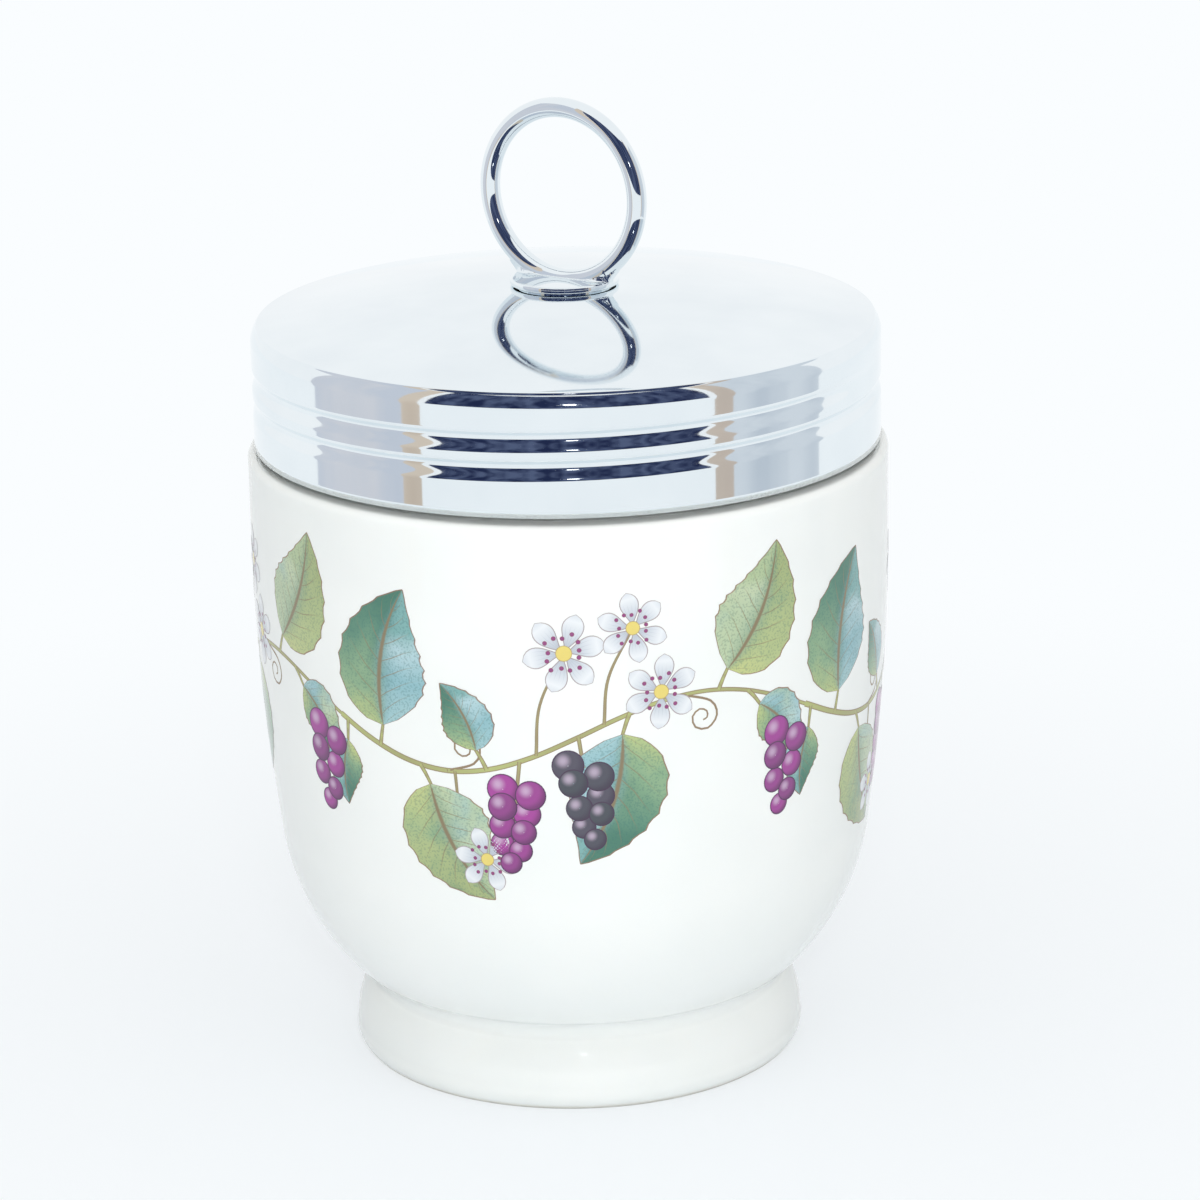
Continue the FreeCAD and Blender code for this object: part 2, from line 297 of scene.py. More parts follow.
def screw_thread_group():
    """Presses a helical channel, or raises a helical ridge, in a round wall about Z.

    For each point, the turn of the helix nearest to it is found from its azimuth and height. The depth
    falls off smoothly across the thread's flank, and fades in and out over the run-out at its ends.
    """
    sizes = ["Pitch", "Height", "First Turn", "Last Turn", "Run Out", "Lower Flank", "Upper Flank"]
    sizes += ["Flat Share", "Depth", "Least Radius"]
    tree, given = node_group("screw_thread", sizes)
    value = given.outputs
    place = add(tree, "ShaderNodeSeparateXYZ", {0: add(tree, "GeometryNodeInputPosition")}).outputs
    angle = add(tree, "ShaderNodeMath", {0: place["Y"], 1: place["X"]}, operation="ARCTAN2")
    azimuth = calc(tree, "DIVIDE", angle, 2 * math.pi)
    above = calc(tree, "SUBTRACT", place["Z"], value["Height"])
    turns_up = calc(tree, "DIVIDE", above, value["Pitch"])
    level = calc(tree, "ADD", turns_up, 0.75)
    whole = calc(tree, "ROUND", calc(tree, "SUBTRACT", level, azimuth))
    turn = calc(tree, "ADD", azimuth, whole)
    off = calc(tree, "SUBTRACT", level, turn)
    below = calc(tree, "LESS_THAN", off, 0.0)
    flanks = {"To Min": value["Upper Flank"], "To Max": value["Lower Flank"]}
    reach = add(tree, "ShaderNodeMapRange", {"Value": below, **flanks})
    rise = calc(tree, "ABSOLUTE", calc(tree, "MULTIPLY", off, value["Pitch"]))
    distance = calc(tree, "DIVIDE", rise, reach)
    flank = add(
        tree,
        "ShaderNodeMapRange",
        {"Value": distance, "From Min": 1.0, "From Max": value["Flat Share"]},
        interpolation_type="SMOOTHSTEP",
    )
    from_first = calc(tree, "SUBTRACT", turn, value["First Turn"])
    to_last = calc(tree, "SUBTRACT", value["Last Turn"], turn)
    to_end = calc(tree, "MINIMUM", from_first, to_last)
    fade = add(
        tree,
        "ShaderNodeMapRange",
        {"Value": to_end, "From Min": 0.0, "From Max": value["Run Out"]},
        interpolation_type="SMOOTHSTEP",
    )
    share = calc(tree, "MULTIPLY", flank, fade)
    depth = calc(tree, "MULTIPLY", share, value["Depth"])
    flat = add(tree, "ShaderNodeCombineXYZ", {"X": place["X"], "Y": place["Y"], "Z": 0.0})
    radius = add(tree, "ShaderNodeVectorMath", {0: flat}, operation="LENGTH").outputs["Value"]
    outward = add(tree, "ShaderNodeVectorMath", {0: flat}, operation="NORMALIZE")
    shift = add(tree, "ShaderNodeVectorMath", {0: outward, "Scale": depth}, operation="SCALE")
    wall = calc(tree, "GREATER_THAN", radius, value["Least Radius"])
    moved = add(
        tree,
        "GeometryNodeSetPosition",
        {"Geometry": value["Geometry"], "Selection": wall, "Offset": shift.outputs[0]},
    )
    return close_group(tree, given, moved)


def repeat_group():
    """Sets copies of a motif evenly round Z."""
    tree, given = node_group("repeat_round", ["Copies"])
    points = add(tree, "GeometryNodePoints", {"Count": 1, "Position": (0, 0, 0)})
    tree.links.new(given.outputs["Copies"], points.inputs["Count"])
    number = add(tree, "GeometryNodeInputIndex")
    step = calc(tree, "DIVIDE", 2 * math.pi, given.outputs["Copies"])
    turn = calc(tree, "MULTIPLY", number, step)
    turned_by = add(tree, "ShaderNodeCombineXYZ", {"Z": turn})
    copies = add(
        tree,
        "GeometryNodeInstanceOnPoints",
        {"Points": points, "Instance": given.outputs["Geometry"], "Rotation": turned_by.outputs[0]},
    )
    return close_group(tree, given, copies)


# Materials.


def glazed_porcelain():
    """Bone china under a clear glaze: white with a faint cool tint, very glossy, slightly uneven.

    The glaze pulls into long low ripples a few millimetres across, and the foot's standing ring is
    wiped clean of glaze before firing, so it is matt there.
    """
    material, tree, bsdf = new_material("glazed_porcelain", IOR=1.52)
    bsdf.inputs["Subsurface Weight"].default_value = 0.06
    bsdf.inputs["Subsurface Radius"].default_value = (0.0012, 0.0011, 0.0010)
    place = add(tree, "ShaderNodeTexCoord").outputs["Object"]
    cloud = add(tree, "ShaderNodeTexNoise", {"Vector": place, "Scale": 60.0, "Detail": 2.0})
    tint = ramp(tree, cloud.outputs["Fac"], [(0.3, "#f5f8f5"), (0.7, "#f9fbf8")])
    height = add(tree, "ShaderNodeSeparateXYZ", {0: place}).outputs["Z"]
    wiped = add(
        tree,
        "ShaderNodeMapRange",
        {"Value": height, "From Min": 0.0003, "From Max": 0.0006, "To Min": 1.0, "To Max": 0.0},
    )
    body = blend(tree, wiped.outputs[0], tint.outputs[0], "#e4e2da")
    tree.links.new(body, bsdf.inputs["Base Color"])
    rough = add(
        tree,
        "ShaderNodeMapRange",
        {"Value": wiped.outputs[0], "To Min": 0.07, "To Max": 0.62},
    )
    tree.links.new(rough.outputs[0], bsdf.inputs["Roughness"])
    ripple = add(tree, "ShaderNodeTexNoise", {"Vector": place, "Scale": 140.0, "Detail": 1.0})
    low = {"Height": ripple.outputs["Fac"], "Strength": 0.05, "Distance": 0.0004}
    bump = add(tree, "ShaderNodeBump", low)
    tree.links.new(bump.outputs[0], bsdf.inputs["Normal"])
    return material


def chrome_plate(name, rough):
    """Polished steel under bright nickel-chromium: a clean mirror with a faint blue cast.

    Wiping leaves hairlines a few tenths of a millimetre apart and thin cloudy patches, which show as
    small changes of roughness.
    """
    material, tree, bsdf = new_material(name, Metallic=1.0)
    place = add(tree, "ShaderNodeTexCoord").outputs["Object"]
    cloud = add(tree, "ShaderNodeTexNoise", {"Vector": place, "Scale": 90.0, "Detail": 3.0})
    tint = ramp(tree, cloud.outputs["Fac"], [(0.3, "#e6edf1"), (0.7, "#edf3f6")])
    tree.links.new(tint.outputs[0], bsdf.inputs["Base Color"])
    hair = add(tree, "ShaderNodeTexNoise", {"Vector": place, "Scale": 2600.0, "Detail": 2.0})
    both = calc(tree, "MULTIPLY", cloud.outputs["Fac"], hair.outputs["Fac"])
    shine = add(
        tree,
        "ShaderNodeMapRange",
        {"Value": both, "From Min": 0.12, "From Max": 0.42, "To Min": rough, "To Max": rough * 2.2},
    )
    tree.links.new(shine.outputs[0], bsdf.inputs["Roughness"])
    return material


# The turned pieces.


def porcelain_cup(material, thread):
    """Cup: recess, foot ring, bowl, shoulder, neck with its moulded thread, rim and cavity."""
    low = side_radius(SIDE_ARC_LOW)
    bore, cavity, belly = NECK - NECK_WALL, BELLY - CAVITY_WALL, BELLY - PRINT
    points = outline(
        (0, RECESS),
        ((FOOT_INNER - 2, RECESS), 3),
        ((FOOT_INNER, RECESS - 2), 0.4, 2, 1),
        ((FOOT_INNER, FOOT_EDGE), 1.2),
        ((FOOT_INNER + FOOT_EDGE, 0), 0.2, FOOT_EDGE, -1),
        ((FOOT_BULGE - FOOT_EDGE, 0), 0.7),
        ((FOOT_BULGE, FOOT_BULGE_Z), 0.25, 2.6, -1),
        ((FOOT_WAIST, FOOT_WAIST_Z), 0.5, 11, -1),
        ((BOWL_EDGE, FOOT_TOP), 0.3, 3, 1),
        ((low - PRINT, SIDE_ARC_LOW), 0.7, BOWL_ARC, -1),
        ((belly, STRAIGHT_LOW), 1.5, SIDE_ARC, -1),
        ((belly, SHOULDER - 0.9), 1.5),
        ((belly - 0.9, SHOULDER), 0.2, 0.9, -1),
        ((NECK, SHOULDER), 0.6),
        ((NECK, SHOULDER + 1.5), 0.5),
        ((NECK, NECK_TOP), 0.12),
        ((bore, NECK_TOP), 0.25, NECK_WALL / 2, -1),
        ((bore, SHOULDER + 1), 1.5),
        ((cavity, STRAIGHT_LOW + 3), 1.2),
        ((cavity, STRAIGHT_LOW - 6), 1.5),
        ((low - CAVITY_WALL, SIDE_ARC_LOW + 2), 1.5, SIDE_ARC, 1),
        ((FLOOR_RADIUS, FLOOR_Z), 0.9, BOWL_ARC - CAVITY_WALL, 1),
        ((0, FLOOR_Z), 3),
    )
    cup = face_outwards(turned("cup", points, 240))
    sizes = {
        "Pitch": PITCH * MM,
        "Height": (GROOVE_Z + PITCH / 2) * MM,
        "First Turn": CUP_THREAD[0],
        "Last Turn": CUP_THREAD[1],
        "Run Out": RUN_OUT,
        "Lower Flank": RIDGE_HALF * MM,
        "Upper Flank": RIDGE_HALF * MM,
        "Flat Share": 0.25,
        "Depth": RIDGE_TALL * MM,
        "Least Radius": (NECK - 0.1) * MM,
    }
    return run_group(cup, thread, sizes, material)


def lid_shell(material, thread):
    """Lid: flat top, rounded shoulder, wall with the rolled thread, and hem, all of one gauge."""
    bore = LID_RADIUS - GAUGE
    inner = DOME_RADIUS - GAUGE
    edge = bore - SHOULDER_INSET
    edge_z = DOME_CENTRE + math.sqrt(inner**2 - edge**2)
    seat_z = DOME_CENTRE + math.sqrt(inner**2 - SEAT**2)
    thread_low, thread_high = GROOVE_Z - 2.8, GROOVE_Z + 5.3
    points = outline(
        (0, seat_z),
        ((SEAT, seat_z), 3),
        ((edge, edge_z), 2, inner, -1),
        ((bore, edge_z - SHOULDER_DROP), 0.3),
        ((bore, thread_high), 0.6),
        ((bore, thread_low), 0.16),
        ((bore, HEM + GAUGE / 2), 1.2),
        ((LID_RADIUS, HEM + GAUGE / 2), 0.09, GAUGE / 2, 1),
        ((LID_RADIUS, thread_low), 1.0),
        ((LID_RADIUS, thread_high), 0.09),
        ((LID_RADIUS, DOME_EDGE_Z - SHOULDER_DROP), 0.4),
        ((LID_RADIUS - SHOULDER_INSET, DOME_EDGE_Z - TOP_EDGE), 0.15, 3.6, -1),
        ((DOME_EDGE, DOME_EDGE_Z), 0.06, TOP_EDGE, -1),
        ((SEAT, CROWN), 0.8, DOME_RADIUS, -1),
        ((0, CROWN), 2),
    )
    lid = face_outwards(turned("lid", points, 300))
    sizes = {
        "Pitch": PITCH * MM,
        "Height": GROOVE_Z * MM,
        "First Turn": LID_THREAD[0],
        "Last Turn": LID_THREAD[1],
        "Run Out": RUN_OUT,
        "Lower Flank": GROOVE_LOWER * MM,
        "Upper Flank": GROOVE_UPPER * MM,
        "Flat Share": 0.04,
        "Depth": -GROOVE_DEPTH * MM,
        "Least Radius": (bore - 1) * MM,
    }
    return run_group(lid, thread, sizes, material)


def handle_ring(material):
    """The closed wire ring, standing upright and turned about the lid's axis."""
    around, across = 180, 40
    verts, faces = [], []
    facing = Matrix.Rotation(RING_TURN, 3, "Z")
    for j in range(around):
        a = 2 * math.pi * j / around
        for k in range(across):
            b = 2 * math.pi * k / across
            r = RING_MIDDLE + WIRE * math.cos(b)
            spot = facing @ Vector((r * math.cos(a), WIRE * math.sin(b), r * math.sin(a)))
            verts.append((spot + Vector((0, 0, RING_CENTRE))) * MM)
    for j in range(around):
        for k in range(across):
            j2, k2 = (j + 1) % around, (k + 1) % across
            faces.append((j * across + k, j2 * across + k, j2 * across + k2, j * across + k2))
    ring = face_outwards(mesh_object("ring", verts, faces))
    ring.data.materials.append(material)
    return ring


def wire_spot(angle, across, radius):
    """A point round the ring's wire. angle is from the ring's lowest point, and across is round the wire."""
    r = RING_MIDDLE + radius * math.cos(across)
    spot = Vector((r * math.sin(angle), radius * math.sin(across), -r * math.cos(angle)))
    return Matrix.Rotation(RING_TURN, 3, "Z") @ spot + Vector((0, 0, RING_CENTRE))


def closed_bar(sections):
    """Vertices and faces of a closed bar through rings of points."""
    size = len(sections[0])
    verts = [tuple(point * MM) for section in sections for point in section]
    faces = [tuple(reversed(range(size)))]
    faces.append(tuple(range(len(verts) - size, len(verts))))
    for j in range(len(sections) - 1):
        for k in range(size):
            a, b, k2 = j * size, (j + 1) * size, (k + 1) % size
            faces.append((a + k, a + k2, b + k2, b + k))
    return verts, faces


def handle_foot(material):
    """The disc under the ring with the braze drawn up round the wire, run together as metal does.

    Disc, a length of wire and a tent of braze along it are melted into one skin by a fine remesh, and
    smoothing then rounds the hollow corners between them.
    """
    edge = 0.22
    disc = outline(
        (0, DISC_BASE),
        ((DISC_RADIUS - 0.1, DISC_BASE), 1),
        ((DISC_RADIUS, DISC_BASE + 0.1), 0.1),
        ((DISC_RADIUS, DISC_TOP - edge), 0.2),
        ((DISC_RADIUS - edge, DISC_TOP), 0.06, edge, -1),
        ((0, DISC_TOP), 0.7),
    )
    body = face_outwards(turned("ring_foot", disc, 120))
    count, reach = 24, math.radians(46)
    wire, tent = [], []
    for j in range(count + 1):
        angle = reach * (2 * j / count - 1)
        wire.append([wire_spot(angle, 2 * math.pi * k / 24, WIRE - 0.03) for k in range(24)])
        middle = wire_spot(angle, 0, 0)
        away = min(abs(middle.xy.length) / DISC_RADIUS, 1)
        half = 2.1 * (1 - away**3) + 0.5
        top = min(middle.z, DISC_TOP + 1.3)
        sideways = Matrix.Rotation(RING_TURN, 3, "Z") @ Vector((0, 1, 0))
        foot = Vector((middle.x, middle.y, 0)) * min(1, 0.96 * DISC_RADIUS / max(middle.xy.length, 0.1))
        tent.append(
            [
                foot - sideways * half + Vector((0, 0, DISC_TOP - 0.3)),
                foot + sideways * half + Vector((0, 0, DISC_TOP - 0.3)),
                Vector((middle.x, middle.y, top)) + sideways * 0.8,
                Vector((middle.x, middle.y, top)) - sideways * 0.8,
            ]
        )
    for sections in (wire, tent):
        part = face_outwards(mesh_object("part", *closed_bar(sections)))
        body = joined_meshes(body, part)
    voxel = body.modifiers.new("melt", "REMESH")
    voxel.mode = "VOXEL"
    voxel.voxel_size = 0.11 * MM
    voxel.use_smooth_shade = True
    soften = body.modifiers.new("soften", "SMOOTH")
    soften.factor = 0.5
    soften.iterations = 14
    bpy.context.view_layer.update()
    evaluated = body.evaluated_get(bpy.context.evaluated_depsgraph_get())
    mesh = bpy.data.meshes.new_from_object(evaluated)
    body.modifiers.clear()
    body.data = mesh
    mesh.materials.clear()
    mesh.materials.append(material)
    return body


def joined_meshes(first, second):
    """Adds the second object's mesh to the first's and removes the second."""
    work = bmesh.new()
    work.from_mesh(first.data)
    work.from_mesh(second.data)
    work.to_mesh(first.data)
    work.free()
    bpy.data.objects.remove(second)
    return first


# The printed garland: leaves, currant sprigs and small star flowers on a winding stem.

FRONT = math.radians(270)
PERIOD = 2 * math.pi * BELLY / 4


def on_cup(along, height, lift):
    """A place on the cup's side: mm round the belly from the front, height, and lift off the glaze."""
    azimuth = FRONT + along / BELLY
    radius = side_radius(height) - PRINT + lift
    return (radius * MM * math.cos(azimuth), radius * MM * math.sin(azimuth), height * MM)


class Print:
    """Gathers flat printed shapes into one mesh with a UV map and two attributes."""

    def __init__(self):
        self.verts, self.faces, self.uvs, self.margin, self.tone = [], [], [], [], []

    def grid(self, rows, lift, tone):
        """Adds a sheet. rows are lists of (along, height, u, v, distance to the margin in mm)."""
        first, width = len(self.verts), len(rows[0])
        for row in rows:
            for along, height, u, v, margin in row:
                self.verts.append(on_cup(along, height, lift))
                self.uvs.append((u, v))
                self.margin.append(margin)
                self.tone.append(tone)
        for j in range(len(rows) - 1):
            for k in range(width - 1):
                a = first + j * width + k
                self.faces.append((a, a + 1, a + 1 + width, a + width))

    def dot(self, along, height, radius, lift, tone, rings=5, around=26):
        """Adds a round spot. Its UV is its own square, and v runs up."""
        rows = []
        for j in range(rings + 1):
            share = max(j / rings, 0.02)
            row = []
            for k in range(around + 1):
                a = -2 * math.pi * k / around
                x, y = share * math.cos(a), share * math.sin(a)
                row.append((along + radius * x, height + radius * y, x, y, radius * (1 - share)))
            rows.append(row)
        self.grid(rows, lift, tone)

    def blade(self, base, tip, width, bend, lift, tone, shape, steps=26, across=10):
        """Adds a leaf or petal from base to tip. bend bows its midrib, and shape(u) is its half width."""
        base, tip = Vector(base), Vector(tip)
        reach = tip - base
        aside = Vector((-reach.y, reach.x)).normalized()
        rows = []
        for j in range(steps + 1):
            u = j / steps
            middle = base + reach * u + aside * bend * 4 * u * (1 - u)
            heading = (reach + aside * bend * 4 * (1 - 2 * u)).normalized()
            normal = Vector((-heading.y, heading.x))
            half = width * shape(u)
            row = []
            for k in range(across + 1):
                v = 1 - 2 * k / across
                point = middle + normal * half * v
                row.append((point.x, point.y, u, v, half * (1 - abs(v))))
            rows.append(row)
        self.grid(rows, lift, tone)

    def strip(self, points, width, lift, tone):
        """Adds a stem of even width through a smooth curve of points."""
        path = smooth_path(points)
        total = len(path) - 1
        rows = []
        for j, point in enumerate(path):
            heading = (path[min(j + 1, total)] - path[max(j - 1, 0)]).normalized()
            normal = Vector((-heading.y, heading.x))
            half = width / 2 * (1 - 0.35 * j / total)
            row = []
            for v in (1, 0.4, -0.4, -1):
                spot = point + normal * half * v
                row.append((spot.x, spot.y, j / total, v, half * (1 - abs(v))))
            rows.append(row)
        self.grid(rows, lift, tone)

    def made(self, name, material, tree):
        """The finished mesh, repeated round the cup."""
        piece = face_outwards_from_axis(mesh_object(name, self.verts, self.faces))
        layer = piece.data.uv_layers.new(name="UVMap")
        for loop in piece.data.loops:
            layer.data[loop.index].uv = self.uvs[loop.vertex_index]
        for title, values in (("margin", self.margin), ("tone", self.tone)):
            attribute = piece.data.attributes.new(title, "FLOAT", "POINT")
            attribute.data.foreach_set("value", values)
        return run_group(piece, tree, {"Copies": 4}, material)


def face_outwards_from_axis(piece):
    """Turns round the faces of a printed sheet that look towards the cup's axis."""
    work = bmesh.new()
    work.from_mesh(piece.data)
    work.normal_update()
    inward = [f for f in work.faces if f.normal.xy.dot(f.calc_center_median().xy) < 0]
    bmesh.ops.reverse_faces(work, faces=inward)
    work.to_mesh(piece.data)
    work.free()
    return piece


def smooth_path(points, step=0.9):
    """Points of a smooth curve through the given ones, about a step apart."""
    ends = [Vector(p) for p in points]
    ends = [2 * ends[0] - ends[1]] + ends + [2 * ends[-1] - ends[-2]]
    path = []
    for a, b, c, d in zip(ends, ends[1:], ends[2:], ends[3:]):
        count = max(2, math.ceil((c - b).length / step))
        for k in range(count):
            t = k / count
            path.append(
                0.5
                * (2 * b + (c - a) * t + (2 * a - 5 * b + 4 * c - d) * t**2 + (3 * b - a - 3 * c + d) * t**3)
            )
    return path + [ends[-2]]


def leaf_shape(u):
    """Half width of a leaf along its midrib: round shoulders, drawn-out tip, and a softly waved margin."""
    body = math.sin(math.pi * u**0.72) ** 0.85 * (1 - 0.12 * u)
    wave = 0.035 * math.sin(2 * math.pi * u * 8.5) * math.sin(math.pi * u)
    return max(body + wave, 0.012)


def petal_shape(u):
    """Half width of a petal: narrow at its foot and pointed at its tip."""
    return max(math.sin(math.pi * u**1.15) ** 0.7 * (0.35 + 0.65 * u), 0.02)


def stem_height(along):
    """The winding main stem's height."""
    return 51 + 4.6 * math.sin(2 * math.pi * along / PERIOD)


def garland(tree, leaf_print, stem_print, berry_print, petal_print, heart_print):
    """One quarter of the garland, repeated round the cup, as five pieces."""
    leaves, stems, berries, petals, hearts = Print(), Print(), Print(), Print(), Print()
    half = PERIOD / 2
    stems.strip([(x, stem_height(x)) for x in [half * (k / 6 - 1) for k in range(13)]], 0.75, 0.012, 0.0)

    def leaf(along, angle, length, width, bend, tone, lift=0.019):
        """A leaf on a short stalk from the main stem. angle is in degrees above the horizontal."""
        base = Vector((along, stem_height(along)))
        way = Vector((math.cos(math.radians(angle)), math.sin(math.radians(angle))))
        foot = base + way * 2.6
        stems.strip([base, base + way * 1.3 + Vector((0, 0.15)), foot + way * 0.8], 0.6, 0.014, 0.0)
        leaves.blade(foot, foot + way * length, width, bend, lift, tone, leaf_shape)

    leaf(-24.5, 78, 17.5, 6.6, 1.6, 0.15)
    leaf(-19.0, -62, 16.0, 6.2, -1.4, 0.75)
    leaf(-10.5, 118, 9.0, 3.4, -0.8, 0.45)
    leaf(6.5, -108, 17.0, 6.4, 1.5, 0.3)
    leaf(17.5, 64, 16.0, 6.0, -1.5, 0.9)
    leaf(21.5, -50, 9.5, 3.6, 0.9, 0.55)
    leaf(-29.5, -96, 8.5, 3.2, -0.7, 0.2)

    def sprig(along, lean, ripe, count=9):
        """A hanging sprig of round currants, larger at the top."""
        top = Vector((along, stem_height(along)))
        path = [top + Vector((lean * x, -y)) for x, y in ((0, 0), (0.2, 2.5), (0.6, 7), (1, 12.5))]
        stems.strip(path, 0.5, 0.013, 0.3)
        curve = smooth_path(path)
        for k in range(count):
            share = 0.24 + 0.74 * k / (count - 1)
            spot = curve[round(share * (len(curve) - 1))]
            size = 1.95 - 0.55 * k / (count - 1)
            side = (1.75 - 0.75 * k / (count - 1)) * (1 if k % 2 else -1) if k < count - 1 else 0
            berries.dot(spot.x + side, spot.y - 0.4, size, 0.021 + 0.0008 * (k % 3), ripe + 0.12 * (k % 3))

    sprig(-6.5, -1.5, 0.0)
    sprig(0.5, 1.8, 0.7, 8)
    sprig(28.0, -1.2, 0.05, 7)

    def flower(along, height, size, turn):
        """A six-petalled flower with a ring of stamens, on a thin curved stalk."""
        start = along - 3.5
        joint = Vector((start, stem_height(start)))
        stems.strip([joint, (start + 0.6, (joint.y + height) / 2), (along, height)], 0.42, 0.012, 0.3)
        for k in range(PETALS):
            a = math.radians(turn + 360 / PETALS * k)
            way = Vector((math.cos(a), math.sin(a)))
            middle = Vector((along, height))
            petals.blade(middle + way * 0.3, middle + way * size, 0.36 * size, 0.12 * (-1) ** k,
                         0.021 + 0.0012 * (k % 2), k / PETALS, petal_shape, 12, 6)
        hearts.dot(along, height, 0.2 * size, 0.026, 0.0, 3, 16)
        for k in range(STAMENS):
            a = 2 * math.pi * k / STAMENS + 0.2
            reach = size * (0.37 + 0.07 * (k % 3))
            x, y = along + reach * math.cos(a), height + reach * math.sin(a)
            hearts.dot(x, y, 0.058 * size, 0.027, 1.0, 2, 10)

    flower(-1.0, 61.5, 4.9, 12)
    flower(7.0, 64.2, 4.3, 40)
    flower(10.3, 56.2, 4.6, 25)
    flower(-11.0, 35.5, 4.2, 50)

    def tendril(along, side):
        """A thin curl off the main stem."""
        base = Vector((along, stem_height(along)))
        curl = [base]
        for k in range(9):
            a = math.radians(-60 + 62 * k)
            radius = 2.1 * (1 - k / 10)
            curl.append(base + Vector((2.4 + radius * math.cos(a), side * (3.0 + radius * math.sin(a)))))
        stems.strip(curl, 0.3, 0.012, 0.6)

    tendril(13.0, -1)
    tendril(-15.5, 1)

    return [
        stems.made("garland_stems", stem_print, tree),
        leaves.made("garland_leaves", leaf_print, tree),
        berries.made("garland_currants", berry_print, tree),
        petals.made("garland_petals", petal_print, tree),
        hearts.made("garland_flower_hearts", heart_print, tree),
    ]


def print_material(name):
    """Ceramic transfer fired on under the same gloss as the glaze. Returns material, tree, shader,
    and its UV, margin and tone as sockets."""
    material, tree, bsdf = new_material(name, IOR=1.5, Roughness=0.1)
    place = add(tree, "ShaderNodeSeparateXYZ", {0: add(tree, "ShaderNodeUVMap", uv_map="UVMap")}).outputs
    margin = add(tree, "ShaderNodeAttribute", attribute_name="margin").outputs["Fac"]
    tone = add(tree, "ShaderNodeAttribute", attribute_name="tone").outputs["Fac"]
    return material, tree, bsdf, place, margin, tone


def blend(tree, factor, first, second, kind="MIX"):
    """A colour mix. Each colour is a socket or a hex code."""
    made = add(tree, "ShaderNodeMix", data_type="RGBA", blend_type=kind)
    for index, value in ((0, factor), (6, first), (7, second)):
        if isinstance(value, str):
            value = colour(value)
        if isinstance(value, bpy.types.NodeSocket):
            tree.links.new(value, made.inputs[index])
        else:
            made.inputs[index].default_value = value
    return made.outputs[2]


def steps(tree, value, low, high):
    """A value run smoothly from 0 to 1 between low and high."""
    made = add(
        tree,
        "ShaderNodeMapRange",
        {"Value": value, "From Min": low, "From Max": high},
        interpolation_type="SMOOTHSTEP",
    )
    return made.outputs[0]


def calc(tree, operation, first, second=0.0):
    """One sum on sockets or numbers."""
    return add(tree, "ShaderNodeMath", {0: first, 1: second}, operation=operation).outputs[0]


def leaf_print():
    """Leaves in washes of teal and yellow-green, stippled as engraved colour is, with brown veins."""
    material, tree, bsdf, place, margin, tone = print_material("leaf_transfer")
    spot = add(tree, "ShaderNodeTexCoord").outputs["Object"]
    # Washes about 5 mm across, and stipple about a quarter of a millimetre.
    wash = add(tree, "ShaderNodeTexNoise", {"Vector": spot, "Scale": 190.0, "Detail": 2.0})
    stipple = add(tree, "ShaderNodeTexNoise", {"Vector": spot, "Scale": 4200.0, "Detail": 0.0})
    wash, stipple = wash.outputs["Fac"], stipple.outputs["Fac"]
    side = steps(tree, place["Y"], -0.25, 0.25)
    along = calc(tree, "ADD", place["X"], calc(tree, "MULTIPLY", wash, 0.5))
    teal = ramp(tree, along, [(0.2, "#a9cdd0"), (0.55, "#8fbcc4"), (0.85, "#b5d3d8"), (1.15, "#7fb0ae")])
    green = ramp(tree, along, [(0.2, "#c6d08a"), (0.5, "#8fb08a"), (0.85, "#5f8f78"), (1.15, "#4c7f6c")])
    swap = calc(tree, "GREATER_THAN", tone, 0.5)
    turned_side = calc(tree, "ABSOLUTE", calc(tree, "SUBTRACT", side, swap))
    body = blend(tree, turned_side, teal.outputs[0], green.outputs[0])
    warm = steps(tree, calc(tree, "ADD", tone, wash), 0.95, 1.35)
    gold = blend(tree, calc(tree, "MULTIPLY", warm, 0.6), body, "#cdd28c")
    out = calc(tree, "ABSOLUTE", place["Y"])
    shade = calc(tree, "MULTIPLY", steps(tree, out, 0.45, 0.0), 0.35)
    shaded = blend(tree, shade, gold, "#4d7f78")
    fine = blend(tree, calc(tree, "MULTIPLY", steps(tree, stipple, 0.52, 0.66), 0.28), shaded, "#3f6f6e")
    # Side veins leave the midrib and run out and forward. Each is a thin line at a whole number of steps.
    run = calc(tree, "SUBTRACT", calc(tree, "MULTIPLY", place["X"], 8.0), calc(tree, "MULTIPLY", out, 1.9))
    apart = calc(tree, "ABSOLUTE", calc(tree, "SUBTRACT", calc(tree, "FRACT", run), 0.5))
    side_vein = calc(tree, "MULTIPLY", steps(tree, apart, 0.06, 0.0), steps(tree, out, 0.95, 0.3))
    midrib = steps(tree, out, 0.07, 0.02)
    side_vein, midrib = calc(tree, "MULTIPLY", side_vein, 0.75), calc(tree, "MULTIPLY", midrib, 0.95)
    veins = calc(tree, "MAXIMUM", side_vein, midrib)
    veined = blend(tree, veins, fine, "#8b7a5e")
    outlined = blend(tree, calc(tree, "MULTIPLY", steps(tree, margin, 0.24, 0.1), 0.9), veined, "#94735f")
    tree.links.new(outlined, bsdf.inputs["Base Color"])
    return material


def stem_print():
    """Olive stems with a brown line down each side."""
    material, tree, bsdf, place, margin, tone = print_material("stem_transfer")
    body = ramp(tree, calc(tree, "FRACT", calc(tree, "MULTIPLY", place["X"], 3.0)),
                [(0.0, "#b9bf7c"), (0.5, "#a9a873"), (1.0, "#b9bf7c")]).outputs[0]
    thin = blend(tree, tone, body, "#a08a72")
    lined = blend(tree, calc(tree, "MULTIPLY", steps(tree, margin, 0.17, 0.06), 0.75), thin, "#8f7560")
    tree.links.new(lined, bsdf.inputs["Base Color"])
    return material


